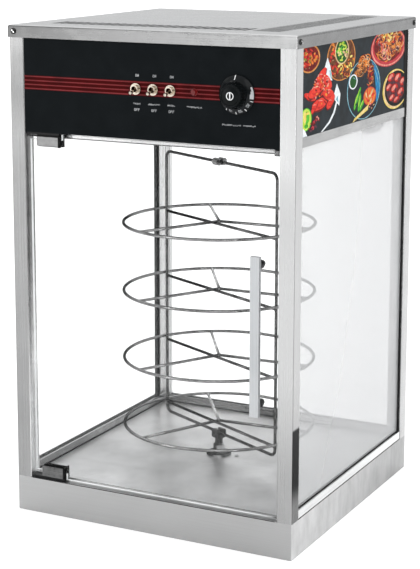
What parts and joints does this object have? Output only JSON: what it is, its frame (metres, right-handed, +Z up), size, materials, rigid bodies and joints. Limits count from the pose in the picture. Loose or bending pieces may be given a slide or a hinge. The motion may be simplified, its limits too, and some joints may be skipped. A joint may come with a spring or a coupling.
{
  "type": "hot food display case",
  "caption": "Countertop heated display case with glass walls, a hinged glass front door, a top control panel and a motor-turned rack of wire ring shelves for pizzas.",
  "frame": {"origin": "centre of the flat underside the case stands on", "axes": "+Z up, +X to the right as seen from the front, -Y out of the glass door and control panel"},
  "size_m": [0.4898, 0.5129, 0.775],
  "materials": {
    "stainless": "brushed",
    "floor_steel": "satin",
    "galvanised_sheet": "satin",
    "black_fascia": "satin",
    "food_print": "satin",
    "clear_glass": "polished",
    "door_glass": "polished",
    "black_rubber": "matte",
    "black_plastic": "matte",
    "screw_steel": "polished",
    "ceramic_white": "glazed",
    "frosted_glass": "satin",
    "bulb_glass": "polished",
    "heater_steel": "satin",
    "zinc_case": "satin",
    "polished_steel": "polished",
    "nickel": "polished",
    "red_lens": "gloss",
    "handle_aluminium": "satin",
    "cast_saddle": "satin",
    "rack_wire": "polished",
    "knob_black": "gloss",
    "knob_cap": "gloss"
  },
  "bodies": {
    "cabinet": {"base_skirt": "stainless", "bottom_plate": "galvanised_sheet", "floor_plate": "floor_steel", "bottom_rail_left": "stainless", "bottom_rail_right": "stainless", "top_rail_left": "stainless", "top_rail_right": "stainless", "rear_rails": "stainless", "door_stop_rail": "stainless", "post_front_left": "stainless", "post_front_right": "stainless", "post_rear_left": "stainless", "post_rear_right": "stainless", "lid": "stainless", "ceiling_plate": "stainless", "rear_panel": "stainless", "control_fascia": "black_fascia", "side_panel_left": "food_print", "side_panel_right": "food_print", "side_glass_left": "clear_glass", "side_glass_right": "clear_glass", "rear_glass": "clear_glass", "glass_gaskets": "black_rubber", "cable_gland": "black_plastic", "case_screws": "screw_steel", "floor_screws": "screw_steel", "lamp_holder": "ceramic_white", "lamp_dome": "frosted_glass", "lamp_bulb": "bulb_glass", "heater_element": "heater_steel", "gear_motor": "zinc_case", "spindle_bearing": "polished_steel", "hinge_pivot_lower": "black_plastic", "hinge_pivot_upper": "black_plastic", "magnetic_catch": "black_plastic", "toggle_switches": "nickel", "pilot_lamp": "red_lens", "thermostat_body": "zinc_case"},
    "door": {"door_glass": "door_glass", "hinge_clamp_lower": "stainless", "hinge_clamp_upper": "stainless", "clamp_pads": "black_rubber", "door_handle": "handle_aluminium", "handle_standoffs": "black_plastic", "door_screws": "screw_steel", "strike_plate": "screw_steel"},
    "rack": {"spindle_shaft": "polished_steel", "hub_saddle": "cast_saddle", "top_saddle": "cast_saddle", "rack_frame": "rack_wire", "ring_shelf_1": "rack_wire", "ring_shelf_2": "rack_wire", "ring_shelf_3": "rack_wire", "ring_shelf_4": "rack_wire"},
    "temperature_knob": {"thermostat_knob": "knob_black", "knob_cap": "knob_cap", "thermostat_shaft": "polished_steel"},
    "light_toggle": {"toggle_lever_1": "nickel"},
    "turntable_toggle": {"toggle_lever_2": "nickel"},
    "heater_toggle": {"toggle_lever_3": "nickel"}
  },
  "joints": [
    {"name": "door_hinge", "type": "hinge", "parent": "cabinet", "child": "door", "pos_m": [-0.19, -0.2265, 0.3], "axis": [0, 0, -1], "range_deg": [0, 110]},
    {"name": "rack_turn", "type": "hinge", "parent": "cabinet", "child": "rack", "pos_m": [0, 0, 0.1], "axis": [0, 0, 1], "continuous": true},
    {"name": "temperature_turn", "type": "hinge", "parent": "cabinet", "child": "temperature_knob", "pos_m": [0.1475, -0.238, 0.6875], "axis": [0, 1, 0], "range_deg": [0, 270]},
    {"name": "light_switch", "type": "hinge", "parent": "cabinet", "child": "light_toggle", "pos_m": [-0.0185, -0.2385, 0.6875], "axis": [-1, 0, 0], "range_deg": [0, 32]},
    {"name": "turntable_switch", "type": "hinge", "parent": "cabinet", "child": "turntable_toggle", "pos_m": [0.0105, -0.2385, 0.6875], "axis": [-1, 0, 0], "range_deg": [0, 32]},
    {"name": "heater_switch", "type": "hinge", "parent": "cabinet", "child": "heater_toggle", "pos_m": [0.0395, -0.2385, 0.6875], "axis": [-1, 0, 0], "range_deg": [0, 32]}
  ]
}
